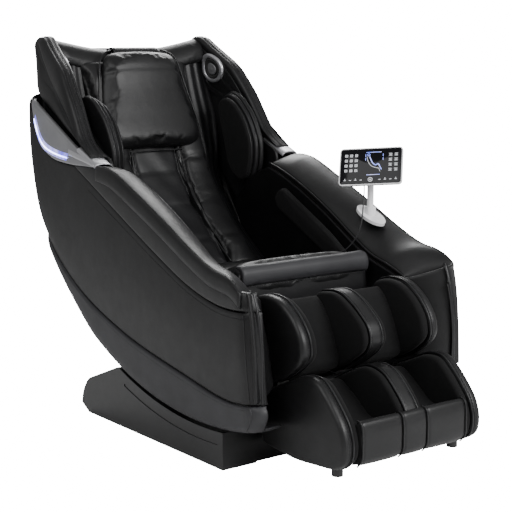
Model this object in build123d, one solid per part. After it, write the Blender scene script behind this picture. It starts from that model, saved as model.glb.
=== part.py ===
"""Massage chair: a cradle-shaped seat that glides on a curved rail over a low base,
with a folding leg rest, a sliding foot rest, a flip-up head pillow and a tablet remote.

Millimetres. X runs across the chair (the sitter's left is +X), Y runs from the feet
(-Y) to the back (+Y), Z is up. The origin is on the floor, at the middle of the
chair's box. Side outlines are (y, z) points; a slab spans them from one x to another.
"""
from build123d import *
import math
import os

# ---------------------------------------------------------------- driving dimensions
SIDES = {"right": -1, "left": 1}      # the sitter's right is at -X

OUTER_X = 374                         # outer face of the side shells
SHELL_WALL = 14                       # thickness of the padded side shells
ARM_X = 385                           # outermost edge of the arm pads
WELL_X = 250                          # half width between the arms
SEAT_X = 232                          # half width of the seat cushion
BACK_X = 205                          # half width of the back cushion
LEG_X = 244                           # half width of the leg and foot rests
LOBE = 60                             # thickness of a padded leg lobe
DIVIDER_X = 42                        # half thickness of the middle leg lobe

GLIDE_AXIS = (-258, 1250)             # the virtual axis that the seat glides about
SHELL_R = 1142                        # lower edge of the shells, about that axis
RAIL_R = (1088, 1112)                 # the curved rails under the seat
RAIL_X = (196, 222)
RAIL_SPAN = (-4.5, 35)                 # degrees from straight down, + towards the back
GAP = 0.5                             # running gap between moving neighbours

LEG_HINGE = (-345, 400)
DRIVE_R = 24                          # rubber wheel that drives the left rail
DRIVE_AT = 8                          # degrees about the glide axis
WHEEL_CENTRE = (344, 34)
WHEEL_R = 26

TRACK_FOOT = (475, 600)               # the straight stretch of the massage track
TRACK_HEAD = (635, 940)
CARRIAGE_AT = 110                     # distance of the carriage up that stretch

FLOOR_PAD = 8                         # height of the rubber feet
MOUNT_AT = (310, -190, 604)           # foot of the tablet's post, on the left arm
MOUNT_SLOPE = 24                      # degrees by which the arm's top falls forwards
POST_R = 10
POST_TOP = 728
TABLET_CENTRE = (302, -200, 757)
TABLET_SIZE = (190, 12, 120)
TABLET_YAW = -55                      # turned towards the sitter
TABLET_TILT = -29                     # leaned back
TABLET_ROLL = -4.5

CORD_D = 4.0
COIL_D = 13.0


# ---------------------------------------------------------------- helpers
def arc_point(radius, degrees):
    """A (y, z) point on a circle about the glide axis."""
    turn = math.radians(degrees)
    return (GLIDE_AXIS[0] + radius * math.sin(turn), GLIDE_AXIS[1] - radius * math.cos(turn))


def arc_stretch(radius, start, end):
    """A three-point arc about the glide axis, for outline()."""
    return [arc_point(radius, a) for a in (start, (start + end) / 2, end)]


def outline(*stretches):
    """A closed face: two points make a line, three an arc, more a smooth curve."""
    edges = []
    for pts in stretches:
        if edges:
            last = edges[-1] @ 1
            if (last - Vector(*pts[0])).length > 1e-6:
                edges.append(Line(last, pts[0]))
        if len(pts) == 2:
            edges.append(Line(*pts))
        elif len(pts) == 3:
            edges.append(ThreePointArc(*pts))
        else:
            edges.append(Spline(*pts))
    if (edges[-1] @ 1 - edges[0] @ 0).length > 1e-6:
        edges.append(Line(edges[-1] @ 1, edges[0] @ 0))
    return make_face(Wire(edges))


def polygon(*pts):
    """A closed face with straight sides."""
    return make_face(Polyline(*pts, close=True))


def slab(face, x_from, x_to):
    """A side outline given thickness across the chair."""
    placed = Plane.YZ.offset(x_from) * face
    return extrude(placed, amount=x_to - x_from, dir=(1, 0, 0))


def side_slab(face, side, x_in, x_out):
    """A slab on the sitter's right (-1) or left (+1)."""
    return slab(face, *sorted((side * x_in, side * x_out)))


def box(low, high):
    """A block between two opposite corners."""
    size = [h - l for l, h in zip(low, high)]
    middle = [(h + l) / 2 for l, h in zip(low, high)]
    return Pos(*middle) * Box(*size)


def cross_rod(y, z, radius, x_from, x_to):
    """A round bar along X."""
    return Pos((x_from + x_to) / 2, y, z) * Rot(0, 90, 0) * Cylinder(radius, x_to - x_from)


def strip(front, depth):
    """A closed outline made of a front line and its copy pushed back by depth (dy, dz)."""
    back = [(y + depth[0], z + depth[1]) for y, z in reversed(front)]
    return polygon(*front, *back)


def arc_band(r_in, r_out, start, end):
    """A curved bar about the glide axis."""
    return outline(arc_stretch(r_out, start, end), list(reversed(arc_stretch(r_in, start, end))))


def save(name, *solids):
    """Write one node."""
    whole = solids[0] if len(solids) == 1 else Compound(children=list(solids))
    export_step(whole, f"parts/{name}.step")


def both_sides(name, build):
    """Build a pair of nodes, NAME_right and NAME_left."""
    for word, side in SIDES.items():
        save(f"{name}_{word}", build(side))


# ---------------------------------------------------------------- base
BASE_FRONT = -364
BASE_REAR = 336
COVER_X = 358                         # outer face of the base covers
COVER_IN = 246
COVER_WALL = 5
COVER_R = SHELL_R + 8                 # top of the covers clears the gliding shells
REAR_CAP = [(330, 112), (170, 176)]   # sloping top of the rear end
PAN_Z = (FLOOR_PAD + 2, FLOOR_PAD + 5)
PAN_X = 236


def base_pan():
    """Steel floor plate."""
    return box((-PAN_X, BASE_FRONT + 14, PAN_Z[0]), (PAN_X, BASE_REAR - 18, PAN_Z[1]))


def pan_edges():
    """Two upright flanges welded along the sides of the plate."""
    return [box((x, BASE_FRONT + 14, PAN_Z[1]), (x + 4, BASE_REAR - 64, 50)) for x in (-PAN_X, PAN_X - 4)]


def pan_ribs():
    """Three bars welded across the plate."""
    return [box((-180, y, PAN_Z[1]), (180, y + 12, 30)) for y in (-250, -60, 130)]


def base_cover(side):
    """One side casing: an outer wall, a top flange that follows the glide, a long groove."""
    top = arc_stretch(COVER_R, -5, 21)
    face = outline([(BASE_FRONT, 2), (BASE_FRONT, top[0][1])], top,
                   [REAR_CAP[1], REAR_CAP[0]],
                   [REAR_CAP[0], (362, 76), (378, 26)],
                   [(378, 26), (BASE_REAR, 2)])
    body = side_slab(face, side, COVER_IN, COVER_X)
    inner_top = arc_stretch(COVER_R + COVER_WALL, -4.6, 20.5)
    inner = outline([(BASE_FRONT + COVER_WALL, -5), (BASE_FRONT + COVER_WALL, inner_top[0][1])],
                    inner_top, [(318, 106), (352, 74)], [(352, 74), (362, 26)],
                    [(362, 26), (BASE_REAR - COVER_WALL, -5)])
    body -= side_slab(inner, side, COVER_IN - 5, COVER_X - COVER_WALL)
    groove = arc_band(COVER_R + 28, COVER_R + 36, -4, 19)
    return body - side_slab(groove, side, COVER_X - 2, COVER_X + 5)


def base_rear_cover():
    """Rear casing between the side casings, with a slot for each transport wheel."""
    outer = polygon((290, 128), (330, 112), (368, 60), (368, 8), (362, 8), (362, 58), (327, 105), (290, 121))
    body = slab(outer, -COVER_IN + 2, COVER_IN - 2)
    body -= box((-90, 340, 26), (-50, 380, 54))
    body -= box((-30, 340, 24), (-4, 380, 56))
    for side in SIDES.values():
        body -= box((side * 215 - 16, 300, 0), (side * 215 + 16, 380, 66))
    return body


def base_front_cover():
    """Flat front panel with a cable hole."""
    panel = box((-COVER_IN + 2, BASE_FRONT + 4, 4), (COVER_IN - 2, BASE_FRONT + 8, 98))
    return panel - Pos(-180, BASE_FRONT + 6, 40) * Rot(90, 0, 0) * Cylinder(6, 20)


def base_feet():
    """Four rubber feet under the pan."""
    return [Pos(x, y, PAN_Z[0] / 2) * Cylinder(22, PAN_Z[0]) for x in (-190, 190) for y in (-300, 240)]


def glide_blocks():
    """Four nylon saddles that carry the curved rails."""
    blocks = []
    for side in SIDES.values():
        for start in (-3, 15):
            top = arc_stretch(RAIL_R[1] + GAP, start, start + 4)
            face = outline([(top[0][0], PAN_Z[1]), top[0]], top, [top[2], (top[2][0], PAN_Z[1])])
            blocks.append(side_slab(face, side, RAIL_X[0] - 4, RAIL_X[1] + 4))
    return blocks


def control_box():
    """Power supply and controller."""
    return box((-120, -210, 31), (60, -90, 84))


def power_inlet():
    """Appliance inlet in the rear casing."""
    inlet = box((-29.6, 344, 24.4), (-4.4, 370, 55.6))
    return inlet - box((-25, 364, 30), (-9, 380, 50))


def power_switch():
    """Rocker switch beside the inlet."""
    return box((-89.4, 346, 26.6), (-50.6, 371, 53.4))


def transport_wheel(side):
    """Small wheel with its axle, used when the chair is tipped back."""
    x = side * 215
    wheel = cross_rod(*WHEEL_CENTRE, WHEEL_R, x - 11, x + 11)
    return wheel + cross_rod(*WHEEL_CENTRE, 4, x - 24, x + 24)


def wheel_forks():
    """Brackets on the pan that hold the two wheel axles."""
    forks = []
    for side in SIDES.values():
        for edge in (-21, 17):
            x = side * 215 + edge
            fork = box((x, BASE_REAR - 62, PAN_Z[1]), (x + 4, 352, 40))
            forks.append(fork - cross_rod(*WHEEL_CENTRE, 4.05, x - 5, x + 9))
    return forks


# ---------------------------------------------------------------- recline drive
WHEEL_AT = arc_point(RAIL_R[1] + GAP + DRIVE_R, DRIVE_AT)


def recline_gearmotor():
    """Gearmotor that turns the rubber drive wheel under the left rail."""
    y, z = WHEEL_AT
    case = box((104, y - 34, PAN_Z[1]), (186, y + 34, z + 20))
    case += cross_rod(y, z, 16, 186, RAIL_X[0] - 3)
    return case - cross_rod(y, z, 6.05, 150, RAIL_X[0])


def drive_wheel():
    """Rubber-faced wheel on the gearmotor's shaft."""
    return cross_rod(*WHEEL_AT, DRIVE_R, RAIL_X[0], RAIL_X[1]) + cross_rod(*WHEEL_AT, 6, 152, RAIL_X[0])


def bar(start, end, radius, x=0.0):
    """A round bar between two (y, z) points in the plane at x."""
    axis = Vector(0, end[0] - start[0], end[1] - start[1])
    plane = Plane(origin=(x, *start), z_dir=axis)
    return plane * Pos(0, 0, axis.length / 2) * Cylinder(radius, axis.length)


# ---------------------------------------------------------------- seat frame
def rocker_rails():
    """Two curved rails that rest on the nylon saddles."""
    face = arc_band(*RAIL_R, *RAIL_SPAN)
    return [side_slab(face, side, *RAIL_X) for side in SIDES.values()]


TUBE_AT = (-3, 12, 27)                # degrees about the glide axis


def seat_frame():
    """Cross tubes on the rails, as wide as the shells that they carry."""
    reach = OUTER_X - SHELL_WALL - 1
    return [cross_rod(*arc_point(RAIL_R[0] - 12, a), 11.5, -reach, reach) for a in TUBE_AT]


TRACK_DIR = Vector(0, TRACK_HEAD[0] - TRACK_FOOT[0], TRACK_HEAD[1] - TRACK_FOOT[1]).normalized()
TRACK_LENGTH = math.dist(TRACK_FOOT, TRACK_HEAD)


def along_track(distance, across=0.0):
    """A (y, z) point up the straight stretch, and across it towards the rear."""
    return (TRACK_FOOT[0] + TRACK_DIR.Y * distance + TRACK_DIR.Z * across,
            TRACK_FOOT[1] + TRACK_DIR.Z * distance - TRACK_DIR.Y * across)


def massage_track():
    """Two rails that guide the massage carriage up the back."""
    start, end = along_track(-40, 50), along_track(TRACK_LENGTH, 50)
    return [bar(start, end, 9, x) for x in (-120, 120)]


def massage_carriage():
    """Carriage block that climbs the rails."""
    low, high = CARRIAGE_AT - 45, CARRIAGE_AT + 45
    corners = [along_track(low, 34), along_track(high, 34), along_track(high, 66), along_track(low, 66)]
    block = slab(polygon(*corners), -137, 137)
    for x in (-120, 120):
        block -= bar(along_track(low - 9, 50), along_track(high + 9, 50), 9.6, x)
    for distance in (-28, 28):
        for x in (-92, 84):
            ear = [along_track(CARRIAGE_AT + distance - 9, 0), along_track(CARRIAGE_AT + distance + 9, 0),
                   along_track(CARRIAGE_AT + distance + 9, 36), along_track(CARRIAGE_AT + distance - 9, 36)]
            block += slab(polygon(*ear), x, x + 8)
        block -= cross_rod(*along_track(CARRIAGE_AT + distance, 8), 5.05, -100, 100)
    return block


def massage_rollers(distance):
    """Two kneading rollers on one axle."""
    centre = along_track(CARRIAGE_AT + distance, 8)
    axle = cross_rod(*centre, 5, -95, 95)
    for x in (-64, 40):
        axle += cross_rod(*centre, 19, x, x + 24)
    return axle


# ---------------------------------------------------------------- shells
BAND_TOP = [(-520, 210), (-400, 202), (-200, 232), (100, 291), (345, 378), (545, 520)]
REAR_EDGE = [(545, 520), (604, 625), (634, 740), (650, 860), (652, 930)]
TRIM_LOW = [(622, 944), (600, 846), (553, 792), (497, 767), (397, 757), (248, 756)]
ARM_TOP = [(238, 754), (145, 738), (13, 684), (-108, 628), (-255, 558), (-350, 520), (-478, 500)]
FRONT_EDGE = [(-478, 500), (-492, 450), (-511, 333), (-520, 210)]


def side_shell(side):
    """Padded outer panel of one side."""
    face = outline(FRONT_EDGE, BAND_TOP, REAR_EDGE, [REAR_EDGE[-1], TRIM_LOW[0]], TRIM_LOW,
                   [TRIM_LOW[-1], ARM_TOP[0]], ARM_TOP)
    return side_slab(face, side, OUTER_X - SHELL_WALL, OUTER_X)


def side_band(side):
    """Lower band: an outer wall and a floor that follows the glide."""
    low = arc_stretch(SHELL_R, 29.5, -12.5)
    under = [(y + 1, z - 1) for y, z in BAND_TOP]
    face = outline(under, [under[-1], (497, 424), (404, 338), low[0]], low,
                   [low[2], (-528, 190), under[0]])
    wall = side_slab(face, side, OUTER_X - SHELL_WALL, OUTER_X)
    floor = arc_band(SHELL_R - 12, SHELL_R, -12, 27)
    return wall + side_slab(floor, side, WELL_X + 10, OUTER_X - SHELL_WALL)


def trim(side):
    """Silver wedge between shell and wing."""
    face = outline([(x, z + 1) for x, z in TRIM_LOW], [TRIM_LOW[-1], (240, 764)], [(240, 764), (345, 806)],
                   [(345, 806), (622, 945)])
    return side_slab(face, side, OUTER_X - SHELL_WALL, OUTER_X - 2)


def led_strip(side):
    """Light guide set in the wedge."""
    line = [(596, 880), (578, 828), (545, 800), (496, 786), (400, 776)]
    face = polygon(*line, *[(y, z + 6) for y, z in reversed(line)])
    return side_slab(face, side, OUTER_X - 1.9, OUTER_X + 1)


WING_LEAN = 8
WING_PIVOT_Z = 800


def wing(side):
    """Upright side wing beside the head, leaning inwards towards its top."""
    face = polygon((250, 774), (346, 812), (616, 948), (656, 975), (682, 1060), (706, 1115), (690, 1140),
                   (650, 1146), (600, 1106), (492, 1040), (413, 945), (337, 830))
    panel = side_slab(face, side, OUTER_X - 52, OUTER_X - 2)
    pivot = Pos(side * (OUTER_X - 2), 0, WING_PIVOT_Z)
    return pivot * Rot(0, -side * WING_LEAN, 0) * pivot.inverse() * panel


def arm_pad(side):
    """Sloping arm: a thick top pad that tips inwards, and the wall of the seat well."""
    top_out = [(236, 768), (150, 750), (20, 697), (-105, 642), (-255, 572), (-350, 536), (-430, 528), (-482, 502)]
    top_in = [(240, 738), (165, 716), (70, 678), (-52, 617), (-177, 543), (-250, 505), (-330, 482), (-392, 458)]
    drop = 46
    faces = []
    for x, line in ((ARM_X - 22, top_out), (WELL_X + 14, top_in)):
        ring = line + [(y + 12, z - drop) for y, z in reversed(line)]
        faces.append(Plane.YZ.offset(side * x) * polygon(*ring))
    pad = loft(faces, ruled=True)
    lip = polygon(*top_out, *[(y + 10, z - 12) for y, z in reversed(top_out)])
    pad += side_slab(lip, side, ARM_X - 22, ARM_X)
    wall_top = [(y, z - 20) for y, z in top_in]
    wall = polygon(*wall_top, (-392, 330), (100, 330), (330, 450), (420, 600), (330, 690), (252, 716))
    pad += side_slab(wall, side, WELL_X + 2, WELL_X + 14)
    return pad - side_shell(side)


def forearm_pad(side):
    """Air-bag pad along the inside of the arm."""
    face = polygon((140, 672), (176, 640), (160, 606), (60, 556), (-100, 476), (-150, 470), (-172, 496), (-90, 552))
    return side_slab(face, side, WELL_X - 14, WELL_X + 1.5)


def speaker(side):
    """Loudspeaker bezel on the wing's inner face."""
    disc = Rot(0, 90, 0) * Cylinder(46, 10) + Rot(0, 90, 0) * Cone(26, 14, 16)
    lean = Rot(0, -side * WING_LEAN, 0)
    return Pos(side * 281, 584, 1028) * lean * (disc if side < 0 else Rot(0, 0, 180) * disc)


def shoulder_pad(side):
    """Air-bag pad beside the shoulder."""
    face = polygon((336, 700), (296, 745), (292, 800), (332, 885), (400, 945), (456, 962), (500, 935), (452, 800),
                   (420, 700))
    return side_slab(face, side, 232, 284)


BACK_LINE = [(286, 243), (420, 330), (535, 450), (615, 580), (668, 720), (702, 860), (721, 1000), (720, 1094)]


def back_cover():
    """Curved rear panel with a rolled top edge, slotted where the rails pass over the saddles."""
    inner = [(y - 12, z + 3) for y, z in BACK_LINE]
    panel = slab(polygon(*BACK_LINE, *reversed(inner)), -WELL_X - 60, WELL_X + 60)
    rim = polygon((652, 1100), (640, 1124), (694, 1132), (722, 1110), (720, 1090), (700, 1092))
    panel += slab(rim, -WELL_X + 4, WELL_X - 4)
    for side in SIDES.values():
        low, high = sorted((side * (RAIL_X[0] - 8), side * (RAIL_X[1] + 8)))
        panel -= box((low, 200, 200), (high, 446, 354))
    return panel


# ---------------------------------------------------------------- soft parts of the seat
SEAT_TOP = [(-274, 520), (-240, 516), (-150, 486), (-40, 460), (80, 442), (170, 438)]
BACK_TOP = [(182, 430), (262, 486), (335, 540), (402, 602), (470, 690), (510, 770), (545, 850), (582, 942),
            (608, 1024), (618, 1070)]


def seat_cushion():
    """Seat cushion with its front roll."""
    face = polygon(*SEAT_TOP, (176, 362), (60, 352), (-150, 380), (-276, 410))
    return slab(face, -SEAT_X, SEAT_X)


def back_cushion():
    """Upholstered back in front of the massage carriage."""
    return slab(strip(BACK_TOP, (24, -16)), -BACK_X, BACK_X)


def head_pillow():
    """Pillow that hangs from the top of the back."""
    face = polygon((618, 1104), (596, 1098), (566, 1052), (548, 980), (520, 900), (492, 820), (486, 780),
                   (504, 772), (536, 850), (572, 942), (598, 1024), (608, 1076))
    pillow = slab(face, -178, 178)
    for side in SIDES.values():
        corner = Pos(side * 190, 560, 1110) * Rot(0, side * 38, 0) * Box(80, 300, 160)
        pillow -= corner
    return pillow


# ---------------------------------------------------------------- leg rest
CALF_SIDE = [(-330, 452), (-398, 470), (-455, 462), (-512, 424), (-548, 376), (-556, 330), (-540, 302),
             (-488, 262), (-400, 222), (-372, 300), (-338, 380)]
CALF_WELL = [(-362, 446), (-398, 420), (-430, 372), (-452, 320), (-470, 262), (-400, 222), (-372, 300), (-338, 380)]
CALF_DIVIDER = [(-352, 450), (-436, 462), (-500, 430), (-556, 385), (-570, 345), (-556, 312), (-488, 262),
                (-400, 222), (-372, 300), (-338, 380)]


def lobe(face, side):
    """Outer lobe of a leg or foot rest."""
    return side_slab(face, side, LEG_X - LOBE, LEG_X)


def calf_shell():
    """Back wall and floor of the two calf channels."""
    return [side_slab(polygon(*CALF_WELL), side, DIVIDER_X, LEG_X - LOBE) for side in SIDES.values()]


def calf_side(side):
    """Outer calf lobe."""
    stub = cross_rod(*LEG_HINGE, 10, *sorted((side * LEG_X, side * (WELL_X + 1.5))))
    return lobe(polygon(*CALF_SIDE), side) + stub


def calf_divider():
    """Middle calf lobe."""
    return slab(polygon(*CALF_DIVIDER), -DIVIDER_X, DIVIDER_X)


# ---------------------------------------------------------------- foot rest
FOOT_SIDE = [(-394, 212), (-488, 252), (-551, 281), (-606, 281), (-657, 237), (-706, 180), (-722, 130), (-716, 84),
             (-682, 60), (-520, 48), (-380, 62), (-374, 110)]
FOOT_WELL = [(-470, 232), (-540, 190), (-590, 150), (-650, 146), (-700, 182), (-716, 178), (-719, 84), (-690, 66),
             (-520, 52), (-392, 66), (-386, 110), (-404, 200)]
FOOT_DIVIDER = [(-404, 206), (-488, 250), (-560, 284), (-622, 272), (-672, 226), (-706, 186), (-722, 130),
                (-716, 84), (-682, 62), (-520, 50), (-384, 64), (-380, 110)]
FOOT_ROLLER_AT = (-600, 128)


def foot_shell():
    """Soles, heels and toe panel of the two foot wells, with a pocket for the sole rollers."""
    pocket = Pos(0, *FOOT_ROLLER_AT) * Box(400, 52, 60)
    wells = []
    for side in SIDES.values():
        well = side_slab(polygon(*FOOT_WELL), side, DIVIDER_X, LEG_X - LOBE)
        wells.append(well - pocket)
    return wells


def foot_side(side):
    """Outer foot lobe."""
    return lobe(polygon(*FOOT_SIDE), side) - cross_rod(*FOOT_ROLLER_AT, 5.05, -200, 200)


def foot_divider():
    """Middle foot lobe."""
    return slab(polygon(*FOOT_DIVIDER), -DIVIDER_X, DIVIDER_X) - cross_rod(*FOOT_ROLLER_AT, 5.05, -200, 200)


def foot_roller():
    """Sole rollers on one axle."""
    roller = cross_rod(*FOOT_ROLLER_AT, 5, -196, 196)
    for x in (-140, -94, 74, 120):
        roller += cross_rod(*FOOT_ROLLER_AT, 22, x, x + 20)
    return roller


def foot_glides():
    """Two glides under the foot rest."""
    return [Pos(x, -650, 45) * Cylinder(15, 20) for x in (-205, 205)]


# ---------------------------------------------------------------- remote
def mount_plane():
    """The arm's sloping top at the foot of the post."""
    return Pos(*MOUNT_AT) * Rot(MOUNT_SLOPE, 0, 0)


def tablet_mount():
    """Oval foot on the arm, with the socket that the post turns in."""
    oval = extrude(Ellipse(34, 56), amount=9)
    base = mount_plane() * Pos(0, 0, 3) * oval
    x, y, z = MOUNT_AT
    base += Pos(x, y, z + 17) * Cylinder(17, 34)
    return base - Pos(x, y, z + 36) * Cylinder(POST_R + 0.05, 44)


def tablet_post():
    """White post with the head that holds the tablet."""
    x, y, z = MOUNT_AT
    post = Pos(x, y, (z + 15 + POST_TOP) / 2) * Cylinder(POST_R, POST_TOP - z - 15)
    return post + tablet_place() * Pos(0, 22, -20) * Rot(0, 90, 0) * Cylinder(9, 30)


def tablet_place():
    """Placement of the tablet's middle, screen towards local -Y."""
    return Pos(*TABLET_CENTRE) * Rot(0, 0, TABLET_YAW) * Rot(TABLET_TILT, 0, 0) * Rot(0, TABLET_ROLL, 0)


def tablet_case():
    """Rounded case with two hinge ears."""
    width, depth, height = TABLET_SIZE
    case = fillet(Box(width, depth, height).edges().filter_by(Axis.Y), 9)
    case -= Pos(0, -depth / 2, 0) * Box(width - 6, 3, height - 6)
    for x in (-21, 21):
        case += Pos(x, depth / 2 + 12, -20) * Box(10, 25, 16)
    return tablet_place() * case


def tablet_screen():
    """Glass front."""
    width, depth, height = TABLET_SIZE
    return tablet_place() * Pos(0, -depth / 2 + 0.75, 0) * Box(width - 6.2, 1.5, height - 6.2)


# ---------------------------------------------------------------- remote's cord
RELIEF_END = (285, -190, 700)
CORD_ROUTE = [(285, -190, 699.6), (284.6, -190.4, 676), (277, -196, 647), (267, -204, 616), (260, -206, 586),
              (251, -200, 557), (241, -188, 532), (231, -173, 513), (221, -154, 501), (212, -133, 496)]
COIL_ROUTE = [CORD_ROUTE[-1], (219, -97, 490), (224, -58, 486), (232, -20, 478), (240, 20, 474)]


def cord_path(route):
    """Straight runs joined by arcs as large as the runs allow."""
    points = [Vector(*p) for p in route]
    radii = []
    for before, corner, after in zip(points, points[1:], points[2:]):
        half_turn = math.radians((corner - before).get_angle(after - corner)) / 2
        run = min((corner - before).length, (after - corner).length)
        radii.append(0.45 * run / math.tan(half_turn))
    return FilletPolyline(*route, radius=radii), radii


def cord_tube(route, diameter):
    """A cord's solid, with its volume compared with section times length."""
    path, radii = cord_path(route)
    start = Plane(origin=path @ 0, z_dir=path % 0)
    tube = sweep(start * Circle(diameter / 2), path=path)
    expected = math.pi * diameter ** 2 / 4 * path.length
    print(f"cord d{diameter}: {path.length:.0f} mm, volume {tube.volume / expected:.4f} of expected,",
          "radii", [round(r) for r in radii])
    return tube


def cord_strain_relief():
    """Tapered sleeve on an arm from the post's side."""
    x, y, z = RELIEF_END
    sleeve = Pos(x, y, z + 10) * Cone(2.6, 4.2, 20)
    return sleeve + cross_rod(y, z + 15, 3.4, x, MOUNT_AT[0] - POST_R)


def cord_socket():
    """Grommet on the wall of the seat well that takes the cord in."""
    x, y, z = COIL_ROUTE[-1]
    return box((x - 8, y, z - 10), (WELL_X + 2, y + 14, z + 10))


# ---------------------------------------------------------------- write the nodes
os.makedirs("parts", exist_ok=True)

save("base_pan", base_pan(), *wheel_forks())
save("pan_ribs", *pan_edges(), *pan_ribs())
both_sides("base_cover", base_cover)
save("base_rear_cover", base_rear_cover())
save("base_front_cover", base_front_cover())
save("base_feet", *base_feet())
save("glide_blocks", *glide_blocks())
save("control_box", control_box())
save("power_inlet", power_inlet())
save("power_switch", power_switch())
both_sides("transport_wheel", transport_wheel)
save("recline_gearmotor", recline_gearmotor())
save("drive_wheel", drive_wheel())

save("rocker_rails", *rocker_rails())
save("seat_frame", *seat_frame())
save("massage_track", *massage_track())
save("massage_carriage", massage_carriage())
save("massage_rollers_upper", massage_rollers(28))
save("massage_rollers_lower", massage_rollers(-28))

both_sides("side_shell", side_shell)
both_sides("side_band", side_band)
both_sides("trim", trim)
save("led_strips", led_strip(-1), led_strip(1))
both_sides("wing", wing)
both_sides("arm_pad", arm_pad)
both_sides("forearm_pad", forearm_pad)
both_sides("speaker", speaker)
both_sides("shoulder_pad", shoulder_pad)
save("back_cover", back_cover())
save("seat_cushion", seat_cushion())
save("back_cushion", back_cushion())
save("head_pillow", head_pillow())

save("calf_shell", *calf_shell())
both_sides("calf_side", calf_side)
save("calf_divider", calf_divider())
save("foot_shell", *foot_shell())
both_sides("foot_side", foot_side)
save("foot_divider", foot_divider())
save("foot_roller", foot_roller())
save("foot_glides", *foot_glides())

save("tablet_mount", tablet_mount())
save("tablet_post", tablet_post())
save("tablet_case", tablet_case())
save("tablet_screen", tablet_screen())
save("cord_strain_relief", cord_strain_relief())
save("remote_cord", cord_tube(CORD_ROUTE, CORD_D))
save("remote_cord_coil", cord_tube(COIL_ROUTE, COIL_D))
save("cord_socket", cord_socket())
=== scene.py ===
"""Looks of the massage chair: upholstery, shells, trims, tablet and cord on the CAD frame.

Lengths in this script are millimetres until mesh_piece() turns them into metres.
Side outlines are (y, z) points; the sitter's right is at -X.
"""
import math

import bpy
import numpy as np
from mathutils import Matrix, Vector


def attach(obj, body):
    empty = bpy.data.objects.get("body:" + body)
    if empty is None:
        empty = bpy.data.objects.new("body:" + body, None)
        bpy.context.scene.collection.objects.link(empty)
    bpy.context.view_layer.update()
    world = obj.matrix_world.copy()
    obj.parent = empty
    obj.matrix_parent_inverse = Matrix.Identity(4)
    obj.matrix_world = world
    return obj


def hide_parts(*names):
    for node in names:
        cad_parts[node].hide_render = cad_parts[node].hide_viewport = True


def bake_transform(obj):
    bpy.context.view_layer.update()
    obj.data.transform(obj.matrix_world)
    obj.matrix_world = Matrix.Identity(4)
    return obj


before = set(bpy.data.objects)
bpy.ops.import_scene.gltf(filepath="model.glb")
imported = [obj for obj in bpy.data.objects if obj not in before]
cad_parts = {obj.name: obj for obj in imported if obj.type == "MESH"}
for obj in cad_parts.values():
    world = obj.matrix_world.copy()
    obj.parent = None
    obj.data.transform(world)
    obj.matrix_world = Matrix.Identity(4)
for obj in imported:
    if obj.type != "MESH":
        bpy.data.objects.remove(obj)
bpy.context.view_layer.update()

MM = 0.001
SIDES = {"right": -1, "left": 1}


# ---------------------------------------------------------------- curves
def smooth_line(points, count, closed=False):
    """Points evenly spaced along a smooth curve through the given ones."""
    pts = np.array(points, float)
    if closed:
        ring = np.vstack([pts[-1], pts, pts[0], pts[1]])
    else:
        ring = np.vstack([2 * pts[0] - pts[1], pts, 2 * pts[-1] - pts[-2]])
    fine = []
    for p0, p1, p2, p3 in zip(ring, ring[1:], ring[2:], ring[3:]):
        knots = [0.0]
        for a, b in ((p0, p1), (p1, p2), (p2, p3)):
            knots.append(knots[-1] + max(np.linalg.norm(b - a), 1e-6) ** 0.5)
        t0, t1, t2, t3 = knots
        for t in np.linspace(t1, t2, 24, endpoint=False):
            a1 = (t1 - t) / (t1 - t0) * p0 + (t - t0) / (t1 - t0) * p1
            a2 = (t2 - t) / (t2 - t1) * p1 + (t - t1) / (t2 - t1) * p2
            a3 = (t3 - t) / (t3 - t2) * p2 + (t - t2) / (t3 - t2) * p3
            b1 = (t2 - t) / (t2 - t0) * a1 + (t - t0) / (t2 - t0) * a2
            b2 = (t3 - t) / (t3 - t1) * a2 + (t - t1) / (t3 - t1) * a3
            fine.append((t2 - t) / (t2 - t1) * b1 + (t - t1) / (t2 - t1) * b2)
    fine.append(pts[0] if closed else pts[-1])
    fine = np.array(fine)
    travel = np.concatenate([[0], np.cumsum(np.linalg.norm(np.diff(fine, axis=0), axis=1))])
    where = np.linspace(0, travel[-1], count + 1 if closed else count)
    if closed:
        where = where[:-1]
    return np.column_stack([np.interp(where, travel, fine[:, k]) for k in range(fine.shape[1])])


def corner_loop(points, count, radius=14):
    """A closed outline with straight sides and rounded corners."""
    pts = np.array(points, float)
    fine = []
    for before, corner, after in zip(np.roll(pts, 1, 0), pts, np.roll(pts, -1, 0)):
        to_before, to_after = before - corner, after - corner
        reach = min(radius, 0.45 * np.linalg.norm(to_before), 0.45 * np.linalg.norm(to_after))
        start = corner + to_before / np.linalg.norm(to_before) * reach
        end = corner + to_after / np.linalg.norm(to_after) * reach
        for t in np.linspace(0, 1, 9):
            fine.append((1 - t) ** 2 * start + 2 * t * (1 - t) * corner + t ** 2 * end)
    fine = np.vstack([fine, fine[0]])
    travel = np.concatenate([[0], np.cumsum(np.linalg.norm(np.diff(fine, axis=0), axis=1))])
    where = np.linspace(0, travel[-1], count + 1)[:-1]
    return np.column_stack([np.interp(where, travel, fine[:, k]) for k in range(2)])


def inward(loop):
    """Unit normals of a closed 2-D loop, pointing into it."""
    ahead = np.roll(loop, -1, 0) - np.roll(loop, 1, 0)
    normal = np.column_stack([-ahead[:, 1], ahead[:, 0]])
    normal /= np.linalg.norm(normal, axis=1)[:, None] + 1e-9
    area = np.sum(loop[:, 0] * np.roll(loop[:, 1], -1) - np.roll(loop[:, 0], -1) * loop[:, 1])
    return normal if area > 0 else -normal


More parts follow.
